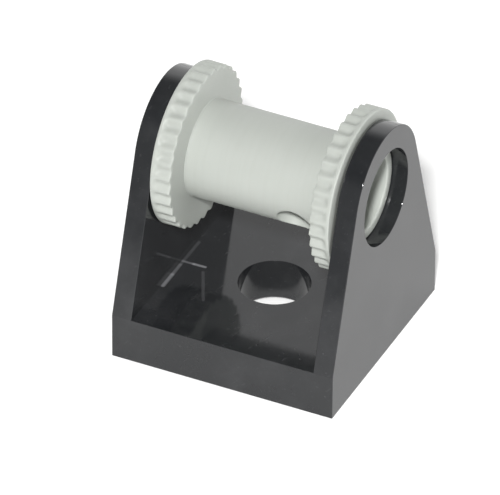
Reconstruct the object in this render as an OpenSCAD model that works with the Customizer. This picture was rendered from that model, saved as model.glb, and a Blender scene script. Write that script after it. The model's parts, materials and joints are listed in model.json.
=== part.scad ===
// Snap-in string reel: a light grey drum that turns between the two cheeks of a black holder.
// The holder stands on a 2 x 2 module base with an 8 mm pitch.
// Frame: +X along the drum's axis, +Y to the back, +Z up. The origin is the centre of the base's underside.

/* [Base] */
// Width of the base along the drum's axis
base_w = 15.8; // [15.6:0.1:16]
// Depth of the base
base_d = 15.8; // [15.6:0.1:16]
// Height of the base, up to the floor between the cheeks
base_h = 3.2; // [3:0.1:4]
// Thickness of the floor over the hollow underside
floor_t = 1; // [0.8:0.1:1.4]
// Thickness of the walls round the hollow underside
wall_t = 1.5; // [1.2:0.1:1.6]
// Outer diameter of the centre tube that grips between four studs
tube_od = 6.5; // [6.2:0.1:6.6]
// Diameter of the hole down through the floor and the centre tube
floor_hole_d = 4.8; // [4.6:0.1:5]
// Height of the centre tube's lower end above the underside
tube_lift = 0.3; // [0:0.1:0.5]

/* [Cheeks] */
// Thickness of each cheek
cheek_t = 1.4; // [1.3:0.1:1.6]
// Height where a cheek's edges leave the vertical and start to lean in
knee_z = 3.2; // [2.8:0.1:5]
// Radius of the rounded top of a cheek
crown_r = 4.7; // [4.4:0.1:5.2]
// Height of the centre of that rounded top
crown_z = 12.65; // [12.4:0.05:13]
// Diameter of the round hole that the drum turns in
cheek_hole_d = 6.6; // [6.2:0.1:6.8]
// Height of the drum's axis
axis_z = 12.45; // [12.2:0.05:12.6]

/* [Drum] */
// Diameter of the flanges, over the serrations
flange_d = 11; // [10.4:0.1:11.4]
// Thickness of each flange
flange_t = 1.4; // [1.1:0.1:1.6]
// Diameter of the barrel that the string winds on
barrel_d = 6.6; // [6:0.1:7]
// Diameter of the bore along the drum
bore_d = 5.1; // [4.6:0.1:5.4]
// Radial gap between a journal and the hole that it turns in
running_gap = 0.05; // [0.02:0.01:0.1]
// Gap between a flange and the cheek beside it
side_gap = 0.15; // [0.1:0.05:0.3]
// Length of journal that stands inside a cheek's hole
journal_grip = 0.3; // [0.3:0.05:1]
// Number of notches around each flange
notches = 34; // [24:1:40]
// Depth of a notch
notch_depth = 0.2; // [0.1:0.02:0.3]
// Width of the plain strip that the notches leave on the cheek side
plain_strip = 0.25; // [0.1:0.05:0.6]
// Diameter of the hole in the barrel that the string's end goes into
string_hole_d = 2.4; // [1.6:0.1:2.6]
// Distance of that hole from the drum's middle
string_hole_x = 2.65; // [-3:0.05:3]
// Direction of that hole, counted from +Y towards +Z
string_hole_turn = 215; // [0:1:360]

/* [Hidden] */

$fn = 96;
over = 1;
cheek_in = base_w / 2 - cheek_t;
flange_out = cheek_in - side_gap;
flange_in = flange_out - flange_t;
journal_end = cheek_in + journal_grip;
journal_d = cheek_hole_d - 2 * running_gap;
notch_r = 0.4;
notch_phase = 145.7;
edge_break = 0.15;

// The straight edge of a cheek runs from its knee and meets the rounded top without a corner.
knee_y = base_d / 2;
knee_far = norm([knee_y, crown_z - knee_z]);
touch_turn = acos(crown_r / knee_far) - atan2(crown_z - knee_z, knee_y);
touch_y = crown_r * cos(touch_turn);
touch_z = crown_z + crown_r * sin(touch_turn);

// Lays a shape that was drawn in the YZ plane on that plane, and extrudes it along +X.
module along_x(from, length) {
    translate([from, 0, 0])
        rotate([90, 0, 90])
            linear_extrude(length)
                children();
}

module cheek_outline() {
    polygon([
        [-knee_y, 0], [knee_y, 0], [knee_y, knee_z], [touch_y, touch_z],
        [-touch_y, touch_z], [-knee_y, knee_z]
    ]);
    translate([0, crown_z])
        circle(r = crown_r);
}

module cheek(side) {
    along_x(side < 0 ? -base_w / 2 : cheek_in, cheek_t)
        difference() {
            cheek_outline();
            translate([0, axis_z])
                circle(d = cheek_hole_d);
        }
}

module base() {
    translate([-cheek_in, -base_d / 2, 0])
        cube([2 * cheek_in, base_d, base_h]);
}

module underside_hollow() {
    translate([wall_t - base_w / 2, wall_t - base_d / 2, -over])
        cube([base_w - 2 * wall_t, base_d - 2 * wall_t, base_h - floor_t + over]);
}

module centre_tube() {
    translate([0, 0, tube_lift])
        cylinder(d = tube_od, h = base_h - floor_t / 2 - tube_lift);
}

module holder() {
    color("#24262a")
        difference() {
            union() {
                difference() {
                    union() {
                        base();
                        for (side = [-1, 1])
                            cheek(side);
                    }
                    underside_hollow();
                }
                centre_tube();
            }
            translate([0, 0, -over])
                cylinder(d = floor_hole_d, h = base_h + 2 * over);
        }
}

// Half of the drum's section: radius outward, length along the axis.
module drum_section() {
    bore_r = bore_d / 2;
    journal_r = journal_d / 2;
    flange_r = flange_d / 2;
    polygon([
        [bore_r, -journal_end], [journal_r - edge_break, -journal_end],
        [journal_r, edge_break - journal_end], [journal_r, -flange_out],
        [flange_r - edge_break, -flange_out], [flange_r, edge_break - flange_out],
        [flange_r, -flange_in], [barrel_d / 2, -flange_in],
        [barrel_d / 2, flange_in], [flange_r, flange_in],
        [flange_r, flange_out - edge_break], [flange_r - edge_break, flange_out],
        [journal_r, flange_out], [journal_r, journal_end - edge_break],
        [journal_r - edge_break, journal_end], [bore_r, journal_end]
    ]);
}

// The notches run in from the barrel side of a flange and stop short of its cheek side.
module flange_notches(side) {
    length = flange_t - plain_strip + over;
    start = side < 0 ? -flange_in - flange_t + plain_strip : flange_in - over;
    for (i = [0 : notches - 1])
        rotate([notch_phase + i * 360 / notches, 0, 0])
            translate([start, flange_d / 2 + notch_r - notch_depth, 0])
                rotate([0, 90, 0])
                    cylinder(r = notch_r, h = length, $fn = 32);
}

module drum() {
    color("#c9cdc8")
        translate([0, 0, axis_z])
            difference() {
                rotate([0, 90, 0])
                    rotate_extrude()
                        drum_section();
                for (side = [-1, 1])
                    flange_notches(side);
                translate([string_hole_x, 0, 0])
                    rotate([string_hole_turn - 90, 0, 0])
                        cylinder(d = string_hole_d, h = barrel_d);
            }
}

holder();
drum();
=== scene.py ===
"""Looks of the snap-in string reel: a glossy black holder and the light grey drum that turns in it.

Shapes are worked out in millimetres and turned into metres when a piece is made.
The frame is the CAD model's: +X along the drum's axis, +Y to the back, +Z up.
"""
import json
import math

import bmesh
import bpy
from mathutils import Matrix, Quaternion, Vector


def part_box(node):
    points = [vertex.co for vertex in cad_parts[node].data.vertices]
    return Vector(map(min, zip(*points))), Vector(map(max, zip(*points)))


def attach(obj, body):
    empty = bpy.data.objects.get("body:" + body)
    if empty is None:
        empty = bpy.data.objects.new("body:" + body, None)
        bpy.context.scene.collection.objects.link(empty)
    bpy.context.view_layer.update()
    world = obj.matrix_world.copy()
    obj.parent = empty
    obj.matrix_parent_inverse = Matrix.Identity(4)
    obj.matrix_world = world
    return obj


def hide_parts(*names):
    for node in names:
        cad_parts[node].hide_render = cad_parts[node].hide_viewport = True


MM = 0.001
FULL_TURN = 2 * math.pi

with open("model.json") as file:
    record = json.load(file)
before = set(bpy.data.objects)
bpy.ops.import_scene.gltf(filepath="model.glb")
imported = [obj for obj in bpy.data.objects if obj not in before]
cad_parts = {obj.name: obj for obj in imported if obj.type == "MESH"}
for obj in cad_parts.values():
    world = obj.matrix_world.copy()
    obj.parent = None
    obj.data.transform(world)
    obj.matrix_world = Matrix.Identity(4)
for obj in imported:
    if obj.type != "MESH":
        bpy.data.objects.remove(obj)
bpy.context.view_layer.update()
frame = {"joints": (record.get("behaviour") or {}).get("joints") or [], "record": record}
mounts = {m["name"]: m for m in frame["record"]["mounts"]}

# ---------------------------------------------------------------- sizes, mm

holder_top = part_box("holder")[1] / MM
drum_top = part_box("drum")[1] / MM

half_w = holder_top.x
half_d = holder_top.y
crown_top = holder_top.z
axis_z = frame["joints"][0]["pos_m"][2] / MM
flange_r = drum_top.z - axis_z
journal_end = drum_top.x
floor_hole_r = mounts["floor_hole"]["dims"]["r_mm"]
bore_r = mounts["drum_bore"]["dims"]["r_mm"]
string_hole_r = mounts["string_hole"]["dims"]["r_mm"]
string_hole_x = mounts["string_hole"]["pos_m"][0] / MM
string_hole_turn = math.atan2(mounts["string_hole"]["axis"][2], mounts["string_hole"]["axis"][1])

base_h = 3.2
floor_t = 1.0
wall_t = 1.5
cheek_t = 1.4
cheek_in = half_w - cheek_t
crown_r = 4.7
crown_z = crown_top - crown_r
cheek_hole_r = 3.3
tube_r = 3.25
tube_lift = 0.3

side_gap = 0.15
running_gap = 0.05
flange_t = 1.4
flange_out = cheek_in - side_gap
flange_in = flange_out - flange_t
barrel_r = 3.3
journal_r = cheek_hole_r - running_gap
notches = 34
# The notches are waves, where the CAD model has round scoops 0.2 mm deep.
notch_depth = 0.22
notch_phase = math.radians(145.7)
plain_strip = 0.2
# Length over which a notch fades out beside the plain strip.
notch_fade = 0.3


# ---------------------------------------------------------------- mesh tools

def prism(name, outline, axis, start, end):
    """A closed prism: outline is a list of (a, b) points, extruded along axis from start to end."""
    place = {
        "X": lambda a, b, t: (t, a, b),
        "Y": lambda a, b, t: (a, t, b),
        "Z": lambda a, b, t: (a, b, t),
    }[axis]
    bm = bmesh.new()
    near = [bm.verts.new(place(a, b, start)) for a, b in outline]
    far = [bm.verts.new(place(a, b, end)) for a, b in outline]
    bm.faces.new(near)
    bm.faces.new(far)
    count = len(outline)
    for i in range(count):
        j = (i + 1) % count
        bm.faces.new((near[i], near[j], far[j], far[i]))
    bmesh.ops.recalc_face_normals(bm, faces=bm.faces)
    mesh = bpy.data.meshes.new(name)
    bm.to_mesh(mesh)
    bm.free()
    piece = bpy.data.objects.new(name, mesh)
    bpy.context.scene.collection.objects.link(piece)
    return piece


def circle_outline(radius, centre=(0.0, 0.0), steps=144):
    turns = [i * FULL_TURN / steps for i in range(steps)]
    return [(centre[0] + radius * math.cos(t), centre[1] + radius * math.sin(t)) for t in turns]


def rectangle(half_a, low_b, high_b):
    return [(-half_a, low_b), (half_a, low_b), (half_a, high_b), (-half_a, high_b)]


def combine(piece, tool, operation):
    """Cuts, joins or intersects piece with tool, and removes the tool."""
    step = piece.modifiers.new(operation, "BOOLEAN")
    step.operation = operation
    step.solver = "EXACT"
    step.object = tool
    apply_modifiers(piece)
    bpy.data.objects.remove(tool)


def apply_modifiers(piece):
    evaluated = piece.evaluated_get(bpy.context.evaluated_depsgraph_get())
    mesh = bpy.data.meshes.new_from_object(evaluated)
    piece.modifiers.clear()
    old = piece.data
    piece.data = mesh
    bpy.data.meshes.remove(old)


def clean_faces(piece, sharp, share_of):
    """Joins the coplanar faces that the cuts left, shades the curved ones smooth, and sets how much each
    sharp edge is rounded: share_of(edge) runs from 0, left sharp, to 1, rounded in full."""
    bm = bmesh.new()
    bm.from_mesh(piece.data)
    bmesh.ops.remove_doubles(bm, verts=bm.verts, dist=1e-4)
    bmesh.ops.dissolve_limit(
        bm, angle_limit=math.radians(0.5), verts=bm.verts, edges=bm.edges, use_dissolve_boundaries=False
    )
    weight = bm.edges.layers.float.new("bevel_weight_edge")
    for face in bm.faces:
        face.smooth = True
    for edge in bm.edges:
        bend = edge.calc_face_angle(0.0)
        edge.smooth = bend < math.radians(12)
        if bend > math.radians(sharp):
            edge[weight] = share_of(edge)
    bm.to_mesh(piece.data)
    bm.free()


def round_edges(piece, width, segments):
    bevel = piece.modifiers.new("rounded_edges", "BEVEL")
    bevel.width = width
    bevel.segments = segments
    bevel.limit_method = "WEIGHT"
    bevel.miter_outer = "MITER_ARC"
    bevel.harden_normals = True
    apply_modifiers(piece)


def to_metres(piece):
    piece.data.transform(Matrix.Scale(MM, 4))


# ---------------------------------------------------------------- holder

def cheek_outline():
    """A cheek seen along X: upright at the base, leaning in, then round at the top."""
    rise = crown_z - base_h
    far = math.hypot(half_d, rise)
    touch = math.acos(crown_r / far) - math.atan2(rise, half_d)
    arc_steps = 72
    arc = [touch + i * (math.pi - 2 * touch) / arc_steps for i in range(arc_steps + 1)]
    crown = [(crown_r * math.cos(a), crown_z + crown_r * math.sin(a)) for a in arc]
    return [(-half_d, 0.0), (half_d, 0.0), (half_d, base_h), *crown, (-half_d, base_h)]


def holder_rounding(edge):
    """Outer edges are rounded in full, the rims of the holes and the foot less, and inner corners not."""
    hole_share, foot_share = 0.6, 0.4
    beside, level = 0.1, 1e-3
    middle = (edge.verts[0].co + edge.verts[1].co) / 2
    if not edge.is_convex:
        return 0.0
    in_floor_hole = math.hypot(middle.x, middle.y) < floor_hole_r + beside
    in_drum_hole = math.hypot(middle.y, middle.z - axis_z) < cheek_hole_r + beside
    if in_floor_hole or in_drum_hole:
        return hole_share
    on_foot = all(abs(vert.co.z) < level for vert in edge.verts)
    return foot_share if on_foot else 1.0


def make_holder():
    past = 1.0
    front_view = [
        (-half_w, 0.0), (half_w, 0.0), (half_w, crown_top + past), (cheek_in, crown_top + past),
        (cheek_in, base_h), (-cheek_in, base_h), (-cheek_in, crown_top + past), (-half_w, crown_top + past),
    ]
    body = prism("holder_shell", front_view, "Y", -half_d - past, half_d + past)
    combine(body, prism("outline", cheek_outline(), "X", -half_w - past, half_w + past), "INTERSECT")
    drum_holes = circle_outline(cheek_hole_r, (0.0, axis_z))
    combine(body, prism("drum_holes", drum_holes, "X", -half_w - past, half_w + past), "DIFFERENCE")
    hollow = rectangle(half_w - wall_t, wall_t - half_d, half_d - wall_t)
    combine(body, prism("hollow", hollow, "Z", -past, base_h - floor_t), "DIFFERENCE")
    combine(body, prism("tube", circle_outline(tube_r), "Z", tube_lift, base_h - floor_t / 2), "UNION")
    combine(body, prism("floor_hole", circle_outline(floor_hole_r), "Z", -past, base_h + past), "DIFFERENCE")
    clean_faces(body, sharp=30, share_of=holder_rounding)
    round_edges(body, width=0.06, segments=3)
    to_metres(body)
    return body


# ---------------------------------------------------------------- drum

STEPS_PER_NOTCH = 12
TURN_STEPS = notches * STEPS_PER_NOTCH
ROW_STEP = 0.3
MOUTH_ROUND = 0.1


def corner(x, r, turn_from, turn_to, radius, steps=4, notched=0.0):
    """Points round a rounded corner whose centre is at (x, r); turns are in degrees in the (x, r) plane."""
    points = []
    for i in range(steps + 1):
        a = math.radians(turn_from + (turn_to - turn_from) * i / steps)
        points.append((x + radius * math.cos(a), r + radius * math.sin(a), notched))
    return points


def line(start, end, count):
    """Points between start and end, both left out. Each is (x, r, notched)."""
    return [
        tuple(s + (e - s) * i / (count + 1) for s, e in zip(start, end))
        for i in range(1, count + 1)
    ]


def half_section():
    """One half of the drum's section, from the middle of the bore, out of the journal's end and back to
    the middle of the barrel. Each point is (x, radius, how much of a notch it has)."""
    mouth, edge, crease, gusset = 0.12, 0.08, 0.08, 0.08
    points = corner(journal_end - mouth, bore_r + mouth, -90, 0, mouth)
    points += corner(journal_end - edge, journal_r - edge, 0, 90, edge)
    points += corner(flange_out + gusset, journal_r + gusset, -90, -180, gusset)
    points += line((flange_out, journal_r + gusset, 0), (flange_out, flange_r - edge, 0), 5)
    points += corner(flange_out - edge, flange_r - edge, 0, 90, edge)
    fade_start = flange_out - plain_strip
    fade_end = fade_start - notch_fade
    points += [(fade_start, flange_r, 0.0)]
    points += line((fade_start, flange_r, 0.0), (fade_end, flange_r, 1.0), 3)
    points += [(fade_end, flange_r, 1.0)]
    points += line((fade_end, flange_r, 1.0), (flange_in + edge, flange_r, 1.0), 2)
    points += corner(flange_in + edge, flange_r - edge, 90, 180, edge, notched=1.0)
    inner_ring = flange_r - edge - 2 * notch_depth
    points += [(flange_in, inner_ring, 0.0)]
    points += line((flange_in, inner_ring, 0), (flange_in, barrel_r + crease, 0), 3)
    points += corner(flange_in - crease, barrel_r + crease, 0, -90, crease)
    return points


def notch_shape(turn):
    """1 in the bottom of a notch, 0 on the crest between two."""
    return (0.5 + 0.5 * math.cos((turn - notch_phase) * notches)) ** 0.9


def drum_point(x, radius, turn):
    return Vector((x, radius * math.cos(turn), axis_z + radius * math.sin(turn)))


def even_rows(start, end, step):
    """x places from start to end, both left out, in even steps near the one asked for."""
    count = max(1, round(abs(end - start) / step))
    return [start + (end - start) * i / count for i in range(1, count)]


def make_drum():
    right = half_section()
    left = [(-x, r, n) for x, r, n in reversed(right)]
    barrel_rows = even_rows(right[-1][0], left[0][0], ROW_STEP)
    bore_rows = even_rows(left[-1][0], right[0][0], ROW_STEP)
    section = right + [(x, barrel_r, 0.0) for x in barrel_rows] + left + [(x, bore_r, 0.0) for x in bore_rows]
    turns = [notch_phase + j * FULL_TURN / TURN_STEPS for j in range(TURN_STEPS)]
    bm = bmesh.new()
    rings = [
        [bm.verts.new(drum_point(x, r - notch_depth * n * notch_shape(t), t)) for t in turns]
        for x, r, n in section
    ]
    patches = {
        "barrel": StringHolePatch(section, turns, barrel_r),
        "bore": StringHolePatch(section, turns, bore_r),
    }
    ring_count = len(rings)
    for i in range(ring_count):
        k = (i + 1) % ring_count
        for j in range(TURN_STEPS):
            m = (j + 1) % TURN_STEPS
            if any(p.covers(i, j) for p in patches.values()):
                continue
            bm.faces.new((rings[i][j], rings[k][j], rings[k][m], rings[i][m]))
    rims = [p.fill(bm, rings) for p in patches.values()]
    join_string_hole(bm, *rims)
    bmesh.ops.recalc_face_normals(bm, faces=bm.faces)
    for face in bm.faces:
        face.smooth = True
    mesh = bpy.data.meshes.new("drum_shell")
    bm.to_mesh(mesh)
    bm.free()
    piece = bpy.data.objects.new("drum_shell", mesh)
    bpy.context.scene.collection.objects.link(piece)
    to_metres(piece)
    return piece


class StringHolePatch:
    """The square of faces on the barrel or in the bore that the string's hole goes through.
    It is filled again by rings that run from the square in to the hole's rim."""

    margin = 0.35

    def __init__(self, section, turns, radius):
        self.radius = radius
        reach = string_hole_r + self.margin
        rows = [i for i, (x, r, n) in enumerate(section) if r == radius and abs(x - string_hole_x) <= reach]
        self.rows = (min(rows), max(rows))
        spread = math.asin(reach / radius)
        columns = [j for j, t in enumerate(turns) if abs(self.off_turn(t)) <= spread]
        self.columns = (min(columns), max(columns))
        self.section = section
        self.turns = turns

    @staticmethod
    def off_turn(turn):
        """Turn counted from the string's hole, between minus and plus half a turn."""
        return (turn - string_hole_turn + math.pi) % FULL_TURN - math.pi

    def covers(self, i, j):
        return self.rows[0] <= i < self.rows[1] and self.columns[0] <= j < self.columns[1]

    def border(self, rings):
        """The square's border as one closed list of vertices."""
        (top, bottom), (first, last) = self.rows, self.columns
        way = [(top, j) for j in range(first, last)]
        way += [(i, last) for i in range(top, bottom)]
        way += [(bottom, j) for j in range(last, first, -1)]
        way += [(i, first) for i in range(bottom, top, -1)]
        for i in range(top + 1, bottom):
            for j in range(first + 1, last):
                rings[i][j].tag = True
        return [(i, j, rings[i][j]) for i, j in way]

    def fill(self, bm, rings):
        """Fills the square round the hole, rounds the hole's mouth, and returns the rim's vertices."""
        border = self.border(rings)
        spots = []
        for i, j, _ in border:
            off = self.off_turn(self.turns[j])
            spots.append((self.section[i][0] - string_hole_x, self.radius * math.sin(off)))
        last_ring = [v for _, _, v in border]
        outward = 1 if self.radius == barrel_r else -1
        for share, depth_turn in [(0.55, 0), (0.2, 0), (0.0, 0), (0.0, 30), (0.0, 60), (0.0, 90)]:
            ring = []
            for across, along in spots:
                far = math.hypot(across, along)
                near = string_hole_r + MOUTH_ROUND
                reach = near + (far - near) * share
                a = math.radians(depth_turn)
                reach -= MOUTH_ROUND * math.sin(a)
                drop = MOUTH_ROUND * (1 - math.cos(a)) * outward
                x, y = across / far * reach, along / far * reach
                ring.append(bm.verts.new(hole_point(x, y, math.sqrt(self.radius ** 2 - y * y) - drop)))
            bridge(bm, last_ring, ring)
            last_ring = ring
        bmesh.ops.delete(bm, geom=[v for v in bm.verts if v.tag and not v.link_faces], context="VERTS")
        return last_ring


def hole_point(x, y, height):
    """A point beside the string's hole: x along the drum, y round it, height out from the drum's axis."""
    out = Vector((0, math.cos(string_hole_turn), math.sin(string_hole_turn)))
    side = Vector((0, -math.sin(string_hole_turn), math.cos(string_hole_turn)))
    return Vector((string_hole_x + x, 0, axis_z)) + out * height + side * y


def bridge(bm, outer, inner):
    count = len(outer)
    for i in range(count):
        j = (i + 1) % count
        bm.faces.new((outer[i], outer[j], inner[j], inner[i]))


def join_string_hole(bm, outer_rim, inner_rim):
    """Joins the two rims by the hole's wall. The rims may have different numbers of vertices."""
    edges = []
    for rim in (outer_rim, inner_rim):
        for i, vert in enumerate(rim):
            edges.append(bm.edges.get((vert, rim[(i + 1) % len(rim)])))
    bmesh.ops.bridge_loops(bm, edges=edges)


# ---------------------------------------------------------------- materials

def new_material(name):
    material = bpy.data.materials.new(name)
    material.use_nodes = True
    nodes = material.node_tree.nodes
    return material, nodes, material.node_tree.links, nodes["Principled BSDF"]


def noise(nodes, links, place, scale, detail=4.0, roughness=0.5):
    node = nodes.new("ShaderNodeTexNoise")
    node.inputs["Scale"].default_value = scale
    node.inputs["Detail"].default_value = detail
    node.inputs["Roughness"].default_value = roughness
    links.new(place, node.inputs["Vector"])
    return node.outputs["Fac"]


def remap(nodes, links, value, low, high, to_low, to_high, smooth=False):
    node = nodes.new("ShaderNodeMapRange")
    node.interpolation_type = "SMOOTHSTEP" if smooth else "LINEAR"
    links.new(value, node.inputs["Value"])
    for socket, number in (("From Min", low), ("From Max", high), ("To Min", to_low), ("To Max", to_high)):
        node.inputs[socket].default_value = number
    return node.outputs["Result"]


def maths(nodes, links, operation, a, b):
    node = nodes.new("ShaderNodeMath")
    node.operation = operation
    for i, value in enumerate((a, b)):
        if isinstance(value, (int, float)):
            node.inputs[i].default_value = value
        else:
            links.new(value, node.inputs[i])
    return node.outputs[0]


def hairlines(nodes, links, place, turn, scale, rare):
    """Fine straight hairline scratches: 1 on a scratch, 0 elsewhere. A larger rare leaves fewer."""
    lean = nodes.new("ShaderNodeMapping")
    lean.inputs["Rotation"].default_value = turn
    links.new(place, lean.inputs["Vector"])
    stretch = nodes.new("ShaderNodeMapping")
    stretch.inputs["Scale"].default_value = (1.0, 0.02, 1.0)
    links.new(lean.outputs["Vector"], stretch.inputs["Vector"])
    streaks = noise(nodes, links, stretch.outputs["Vector"], scale, 1.0)
    return remap(nodes, links, streaks, rare, rare + 0.04, 0.0, 1.0, smooth=True)


def bump(nodes, links, height, distance, strength, before=None):
    node = nodes.new("ShaderNodeBump")
    node.inputs["Strength"].default_value = strength
    node.inputs["Distance"].default_value = distance
    links.new(height, node.inputs["Height"])
    if before is not None:
        links.new(before, node.inputs["Normal"])
    return node.outputs["Normal"]


def colour_mix(nodes, links, share, colour_a, colour_b):
    node = nodes.new("ShaderNodeMix")
    node.data_type = "RGBA"
    links.new(share, node.inputs["Factor"])
    for socket, colour in (("A", colour_a), ("B", colour_b)):
        target = [s for s in node.inputs if s.name == socket and s.type == "RGBA"][0]
        if isinstance(colour, tuple):
            target.default_value = (*colour, 1.0)
        else:
            links.new(colour, target)
    return [s for s in node.outputs if s.type == "RGBA"][0]


def segment_mark(nodes, links, place, start, end, half_width):
    """1 on a straight mark between two points, in mm, fading to 0 at half_width beside it."""
    start, end = Vector(start) * MM, Vector(end) * MM
    way = end - start

    def vector_maths(operation, a, b):
        node = nodes.new("ShaderNodeVectorMath")
        node.operation = operation
        for socket, value in zip(node.inputs, (a, b)):
            if isinstance(value, Vector):
                socket.default_value = value
            else:
                links.new(value, socket)
        return node

    from_start = vector_maths("SUBTRACT", place, start).outputs["Vector"]
    along = vector_maths("DOT_PRODUCT", from_start, way / way.length_squared).outputs["Value"]
    clamp = nodes.new("ShaderNodeClamp")
    links.new(along, clamp.inputs["Value"])
    nearest = nodes.new("ShaderNodeVectorMath")
    nearest.operation = "SCALE"
    nearest.inputs[0].default_value = way
    links.new(clamp.outputs["Result"], nearest.inputs["Scale"])
    off = vector_maths("DISTANCE", from_start, nearest.outputs["Vector"]).outputs["Value"]
    return remap(nodes, links, off, half_width * 0.2 * MM, half_width * MM, 1.0, 0.0, smooth=True)


def worn_edges(nodes, links, reach):
    """0 on flat faces, rising towards 1 on outer edges."""
    inside = nodes.new("ShaderNodeAmbientOcclusion")
    inside.inside = True
    inside.inputs["Distance"].default_value = reach * MM
    return remap(nodes, links, inside.outputs["AO"], 0.35, 0.95, 1.0, 0.0)


# Fine pale lines on the floor beside the left cheek: start, end, half width (mm) and strength. The three
# along the corner at x -6.36 are a painted highlight.
FLOOR_LINES_AND_CORNER_HIGHLIGHT = [
    ((-6.40, -0.46, 3.2), (-5.60, -0.46, 3.2), 0.15, 0.22),
    ((-5.60, -0.46, 3.2), (-4.80, -0.44, 3.2), 0.17, 0.42),
    ((-4.67, -1.00, 3.2), (-3.30, -3.80, 3.2), 0.16, 0.08),
    # Painted highlight along the corner between the floor and the left cheek, brightest at its front end.
    ((-6.36, -3.50, 3.2), (-6.36, -2.10, 3.2), 0.20, 0.34),
    ((-6.36, -2.10, 3.2), (-6.36, -0.90, 3.2), 0.18, 0.18),
    ((-6.36, -0.90, 3.2), (-6.36, 1.90, 3.2), 0.18, 0.07),
]


def black_plastic():
    material, nodes, links, shader = new_material("gloss_black_plastic")
    place = nodes.new("ShaderNodeTexCoord").outputs["Object"]
    mottle = noise(nodes, links, place, 420.0, 5.0, 0.6)
    haze = noise(nodes, links, place, 150.0, 3.0)
    fine = hairlines(nodes, links, place, (0.3, 0.9, 0.5), 5200.0, 0.70)
    crossed = hairlines(nodes, links, place, (1.2, 0.2, -0.7), 4200.0, 0.72)
    marks = maths(nodes, links, "MAXIMUM", fine, crossed)
    colour = colour_mix(nodes, links, mottle, (0.0140, 0.0150, 0.0165), (0.0180, 0.0190, 0.0205))

    film = noise(nodes, links, place, 240.0, 6.0, 0.62)
    film = remap(nodes, links, film, 0.45, 0.75, 0.0, 0.05, smooth=True)
    colour = colour_mix(nodes, links, film, colour, (0.22, 0.22, 0.23))
    specks = noise(nodes, links, place, 5200.0, 1.0)
    specks = remap(nodes, links, specks, 0.77, 0.83, 0.0, 0.22, smooth=True)
    colour = colour_mix(nodes, links, specks, colour, (0.25, 0.25, 0.26))
    dulled = maths(nodes, links, "MULTIPLY", marks, 0.04)
    colour = colour_mix(nodes, links, dulled, colour, (0.25, 0.25, 0.26))
    edges = worn_edges(nodes, links, 0.12)
    edges = maths(nodes, links, "MULTIPLY", edges, remap(nodes, links, mottle, 0.4, 0.65, 0.0, 0.10))
    colour = colour_mix(nodes, links, edges, colour, (0.12, 0.12, 0.125))
    # Paints the pale lines: thin lines on the floor, and the painted highlight along the floor's corner with
    # the left cheek.
    for start, end, half_width, strength in FLOOR_LINES_AND_CORNER_HIGHLIGHT:
        pale_line = segment_mark(nodes, links, place, start, end, half_width)
        pale_line = maths(nodes, links, "MULTIPLY", pale_line, strength)
        colour = colour_mix(nodes, links, pale_line, colour, (0.40, 0.40, 0.42))
    links.new(colour, shader.inputs["Base Color"])

    rough = remap(nodes, links, haze, 0.3, 0.7, 0.055, 0.11)
    rough = maths(nodes, links, "ADD", rough, maths(nodes, links, "MULTIPLY", marks, 0.12))
    rough = maths(nodes, links, "ADD", rough, maths(nodes, links, "MULTIPLY", edges, 1.2))
    links.new(rough, shader.inputs["Roughness"])
    sink = noise(nodes, links, place, 95.0, 1.0)
    grain = noise(nodes, links, place, 2600.0, 2.0)
    surface = bump(nodes, links, sink, 0.00004, 0.12)
    surface = bump(nodes, links, grain, 0.000002, 0.04, surface)
    surface = bump(nodes, links, marks, -0.000002, 0.15, surface)
    links.new(surface, shader.inputs["Normal"])
    shader.inputs["IOR"].default_value = 1.5
    return material


def grey_plastic():
    material, nodes, links, shader = new_material("light_grey_plastic")
    place = nodes.new("ShaderNodeTexCoord").outputs["Object"]
    mottle = noise(nodes, links, place, 300.0, 5.0, 0.6)
    clean = colour_mix(nodes, links, mottle, (0.385, 0.405, 0.375), (0.420, 0.440, 0.410))

    around = nodes.new("ShaderNodeMapping")
    around.inputs["Scale"].default_value = (1.0, 0.06, 0.06)
    links.new(place, around.inputs["Vector"])
    string_wear = noise(nodes, links, around.outputs["Vector"], 2400.0, 3.0, 0.7)
    string_wear = remap(nodes, links, string_wear, 0.45, 0.75, 0.0, 0.10)
    colour = colour_mix(nodes, links, string_wear, clean, (0.30, 0.30, 0.27))
    # Painted shade with some dirt: the colour goes darker in creases, in the notch valleys and where the
    # flanges meet the barrel, following ambient occlusion.
    dirt_and_shade_colour = (0.17, 0.175, 0.16)
    for reach, share in ((0.7, 0.10), (0.22, 0.55)):
        crevice = nodes.new("ShaderNodeAmbientOcclusion")
        crevice.inputs["Distance"].default_value = reach * MM
        dirt_and_shade = remap(nodes, links, crevice.outputs["AO"], 0.35, 0.92, share, 0.0)
        colour = colour_mix(nodes, links, dirt_and_shade, colour, dirt_and_shade_colour)
    links.new(colour, shader.inputs["Base Color"])

    haze = noise(nodes, links, place, 200.0, 3.0)
    marks = hairlines(nodes, links, place, (0.4, 0.1, 1.1), 4600.0, 0.70)
    rough = remap(nodes, links, haze, 0.3, 0.7, 0.42, 0.52)
    rough = maths(nodes, links, "ADD", rough, maths(nodes, links, "MULTIPLY", marks, 0.12))
    links.new(rough, shader.inputs["Roughness"])
    sink = noise(nodes, links, place, 120.0, 1.0)
    grain = noise(nodes, links, place, 2200.0, 3.0)
    surface = bump(nodes, links, sink, 0.00004, 0.15)
    surface = bump(nodes, links, grain, 0.000003, 0.2, surface)
    surface = bump(nodes, links, marks, -0.000003, 0.2, surface)
    links.new(surface, shader.inputs["Normal"])
    shader.inputs["IOR"].default_value = 1.5
    shader.inputs["Specular IOR Level"].default_value = 0.38
    shader.inputs["Subsurface Weight"].default_value = 0.12
    shader.inputs["Subsurface Radius"].default_value = (1.0, 1.0, 0.9)
    shader.inputs["Subsurface Scale"].default_value = 0.0006
    return material


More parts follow.
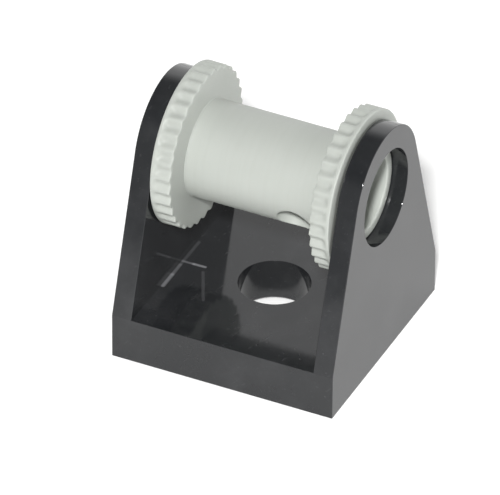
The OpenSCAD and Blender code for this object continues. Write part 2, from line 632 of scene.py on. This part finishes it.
def floor_material():
    """Pale paper, painted darker and glowing less towards the front, where only its reflections are seen:
    painted shade for the weaker light there.
    """
    material, nodes, links, shader = new_material("pale_floor")
    place = nodes.new("ShaderNodeTexCoord").outputs["Object"]
    parts = nodes.new("ShaderNodeSeparateXYZ")
    links.new(place, parts.inputs["Vector"])
    # 1 near the object, 0 at the front: mask for the painted shade on the front of the floor.
    near = remap(nodes, links, parts.outputs["Y"], -0.115, -0.02, 0.0, 1.0, smooth=True)
    tooth = noise(nodes, links, place, 900.0, 3.0)
    paper = colour_mix(nodes, links, tooth, (0.85, 0.85, 0.845), (0.87, 0.87, 0.865))
    links.new(colour_mix(nodes, links, near, (0.6, 0.6, 0.6), paper), shader.inputs["Base Color"])
    shader.inputs["Emission Color"].default_value = (1.0, 1.0, 1.0, 1.0)
    glow = maths(nodes, links, "MULTIPLY", near, FLOOR_GLOW)
    links.new(glow, shader.inputs["Emission Strength"])
    shader.inputs["Roughness"].default_value = 0.85
    shader.inputs["Specular IOR Level"].default_value = 0.2
    return material


# ---------------------------------------------------------------- stage

FRONT_GLOW = 0.35
BACK_GLOW = 1.35
OVERHEAD_SHARE = 0.08
RIGHT_GAIN = 1.15
FLASH_POWER = 2.75
FLOOR_GLOW = 0.2
FLOOR_RADIUS = 150
FLOOR_THICKNESS = 5.0


def make_floor():
    floor = prism("floor", circle_outline(FLOOR_RADIUS), "Z", -FLOOR_THICKNESS, 0.0)
    to_metres(floor)
    floor.data.materials.append(floor_material())


def make_camera():
    azimuth, elevation, roll = math.radians(25.38), math.radians(35.73), math.radians(0.37)
    distance = 700 * MM
    aim = Vector((-2.664, 1.878, 3.945)) * MM
    back = Vector((
        math.sin(azimuth) * math.cos(elevation),
        -math.cos(azimuth) * math.cos(elevation),
        math.sin(elevation),
    ))
    data = bpy.data.cameras.new("camera")
    data.lens = 773.1
    data.sensor_width = 36
    data.clip_start, data.clip_end = 0.01, 10.0
    camera = bpy.data.objects.new("camera", data)
    bpy.context.scene.collection.objects.link(camera)
    camera.location = aim + back * distance
    camera.rotation_mode = "QUATERNION"
    camera.rotation_quaternion = (-back).to_track_quat("-Z", "Y") @ Quaternion((0, 0, 1), roll)
    bpy.context.scene.camera = camera


def area_light(name, azimuth, elevation, distance, size, power):
    """A square soft light aimed at the object; azimuth 0 is in front, and 90 is to the right."""
    a, e = math.radians(azimuth), math.radians(elevation)
    way = Vector((math.sin(a) * math.cos(e), -math.cos(a) * math.cos(e), math.sin(e)))
    data = bpy.data.lights.new(name, "AREA")
    data.size = size * MM
    data.energy = power
    light = bpy.data.objects.new(name, data)
    bpy.context.scene.collection.objects.link(light)
    light.location = Vector((0, 0, 8 * MM)) + way * distance * MM
    light.rotation_mode = "QUATERNION"
    light.rotation_quaternion = (-way).to_track_quat("-Z", "Y")


def make_light():
    """A white surround, dimmer overhead and on the camera's side and brighter at the right, and a small
    flash above the lens and to its left."""
    world = bpy.data.worlds.new("studio")
    world.use_nodes = True
    nodes, links = world.node_tree.nodes, world.node_tree.links
    direction = nodes.new("ShaderNodeTexCoord").outputs["Generated"]
    parts = nodes.new("ShaderNodeSeparateXYZ")
    links.new(direction, parts.inputs["Vector"])
    brightness = remap(nodes, links, parts.outputs["Y"], -0.55, 0.3, FRONT_GLOW, BACK_GLOW, smooth=True)
    overhead = remap(nodes, links, parts.outputs["Z"], 0.48, 0.80, 1.0, OVERHEAD_SHARE, smooth=True)
    brightness = maths(nodes, links, "MULTIPLY", brightness, overhead)
    right_side = remap(nodes, links, parts.outputs["X"], -0.1, 0.7, 1.0, RIGHT_GAIN, smooth=True)
    brightness = maths(nodes, links, "MULTIPLY", brightness, right_side)
    links.new(brightness, nodes["Background"].inputs["Strength"])
    nodes["Background"].inputs["Color"].default_value = (1.0, 1.0, 1.0, 1.0)
    bpy.context.scene.world = world
    area_light("flash", azimuth=22, elevation=41, distance=480, size=34, power=FLASH_POWER)
    bpy.context.scene.view_settings.view_transform = "Standard"


# ---------------------------------------------------------------- build

make_camera()
make_light()
make_floor()

holder = make_holder()
holder.data.materials.append(black_plastic())
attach(holder, "holder_body")
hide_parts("holder")

drum = make_drum()
drum.data.materials.append(grey_plastic())
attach(drum, "drum_body")
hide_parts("drum")
